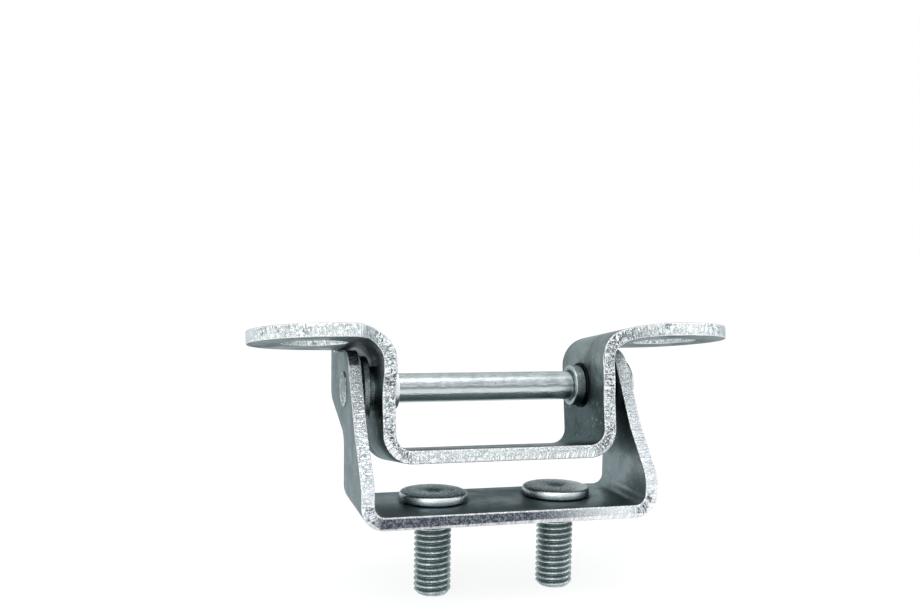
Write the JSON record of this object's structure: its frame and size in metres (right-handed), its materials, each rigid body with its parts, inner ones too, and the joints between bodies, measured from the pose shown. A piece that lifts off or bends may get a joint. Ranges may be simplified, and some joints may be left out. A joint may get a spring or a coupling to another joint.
{
  "type": "trunk lid hinge",
  "caption": "Zinc-plated sheet hinge: U-shaped base with threaded studs, pin, and a hat-shaped swing bracket with two holed wings.",
  "frame": {"origin": "mounting face of the base plate, half way between the studs", "axes": "X along the hinge pin, +Z away from the studs towards the pin, -Y towards the side the wings lean over"},
  "size_m": [0.1066, 0.0426, 0.0591],
  "materials": {
    "zinc_sheet": "bluish clear zinc plating on pressed sheet",
    "zinc_pin": "smooth bright zinc plating",
    "zinc_bush": "satin zinc plating",
    "zinc_stud": "bright zinc plating on a rolled thread"
  },
  "bodies": {
    "base": {"base_bracket": "zinc_sheet", "hinge_pin": "zinc_pin", "stud_left": "zinc_stud", "stud_right": "zinc_stud"},
    "swing": {"swing_bracket": "zinc_sheet", "bush_left": "zinc_bush", "bush_right": "zinc_bush"}
  },
  "joints": [
    {"name": "hinge_turn", "type": "hinge", "parent": "base", "child": "swing", "pos_m": [0, 0.0092, 0.026], "axis": [1, 0, 0], "range_deg": [0, 60]}
  ]
}
